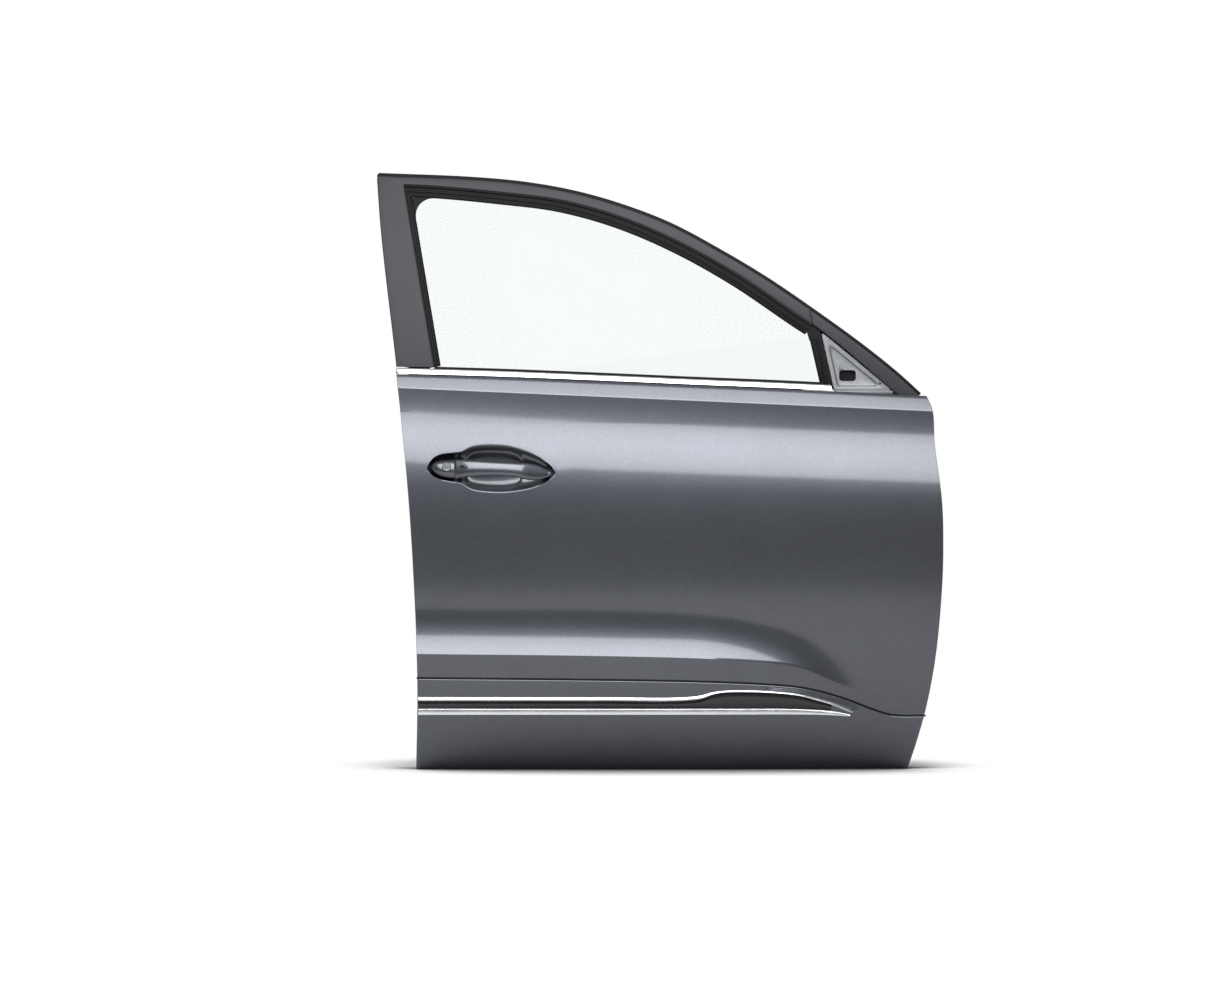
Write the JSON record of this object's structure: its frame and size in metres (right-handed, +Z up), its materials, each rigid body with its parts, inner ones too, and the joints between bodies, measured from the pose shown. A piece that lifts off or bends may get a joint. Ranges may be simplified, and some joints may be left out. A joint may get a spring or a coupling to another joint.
{
  "type": "car door shell",
  "caption": "Right-hand front car door with pressed skin and inner panel, window frame, sliding glass, pull handle, latch and lower trim.",
  "frame": {"origin": "under the middle of the door's box, at the height of its lower edge", "axes": "+X towards the front of the car, -Y is the outside face, +Z up"},
  "size_m": [1.1338, 0.2512, 1.196],
  "materials": {
    "gunmetal_paint": "gloss metallic",
    "inner_body_paint": "satin",
    "satin_cover_paint": "satin",
    "bright_chrome": "polished",
    "satin_chrome": "satin",
    "gloss_black_plastic": "gloss",
    "black_rubber": "matte",
    "black_plastic": "matte",
    "primed_steel": "satin",
    "zinc_plated_steel": "satin",
    "clear_glass": "clear"
  },
  "bodies": {
    "door": {"outer_skin": "gunmetal_paint", "inner_panel": "inner_body_paint", "sash_cover": "satin_cover_paint", "sash_front_cover": "satin_cover_paint", "glass_run": "black_rubber", "frame_edge_seal": "black_rubber", "window_frame": "inner_body_paint", "front_glass_run": "black_rubber", "front_glass_guide": "zinc_plated_steel", "rear_glass_guide": "zinc_plated_steel", "mirror_bracket": "primed_steel", "lower_cladding": "gunmetal_paint", "trim_upper_chrome": "satin_chrome", "trim_lower_chrome": "satin_chrome", "trim_insert": "gloss_black_plastic", "belt_moulding": "bright_chrome", "belt_wiper_outer": "black_rubber", "belt_rail_inner": "inner_body_paint", "belt_rail_outer": "inner_body_paint", "belt_seal_inner": "black_rubber", "handle_cap": "gunmetal_paint", "handle_carrier": "black_plastic", "run_corner_filler": "black_rubber", "side_impact_beam": "zinc_plated_steel", "beam_bracket_rear": "zinc_plated_steel", "beam_bracket_front": "zinc_plated_steel", "hinge_reinforcement_upper": "zinc_plated_steel", "hinge_reinforcement_lower": "zinc_plated_steel", "latch_housing": "black_plastic", "regulator_rail_rear": "zinc_plated_steel", "regulator_rail_front": "zinc_plated_steel", "drum_housing": "black_plastic", "regulator_motor": "zinc_plated_steel", "lift_cable_rear_top": "black_plastic", "lift_cable_front_top": "black_plastic", "lift_cable_rear_bottom": "black_plastic", "lift_cable_front_bottom": "black_plastic", "mirror_stud": "zinc_plated_steel", "door_weatherstrip": "black_rubber"},
    "glass": {"window_glass": "clear_glass", "glass_clamp_rear": "black_plastic", "glass_clamp_front": "black_plastic"},
    "grip": {"handle_grip": "gunmetal_paint"},
    "lock": {"lock_cylinder": "zinc_plated_steel"},
    "fork": {"latch_fork": "zinc_plated_steel"}
  },
  "joints": [
    {"name": "glass_travel", "type": "hinge", "parent": "door", "child": "glass", "pos_m": [0, 1.42289, 0.66743], "axis": [0.986, 0.0175, 0.1659], "range_deg": [0, 14]},
    {"name": "grip_pull", "type": "hinge", "parent": "door", "child": "grip", "pos_m": [-0.2275, -0.07745, 0.59], "axis": [0, 0, 1], "range_deg": [0, 12], "stiffness_Nm_per_rad": 4, "springref_deg": -17.19},
    {"name": "lock_turn", "type": "hinge", "parent": "door", "child": "lock", "pos_m": [-0.421, -0.107, 0.6018], "axis": [0, 1, 0], "range_deg": [-75, 75], "stiffness_Nm_per_rad": 0.05},
    {"name": "fork_turn", "type": "hinge", "parent": "door", "child": "fork", "pos_m": [-0.452, 0.0165, 0.548], "axis": [-1, 0, 0], "range_deg": [0, 62], "stiffness_Nm_per_rad": 0.3, "springref_deg": -17.19}
  ]
}
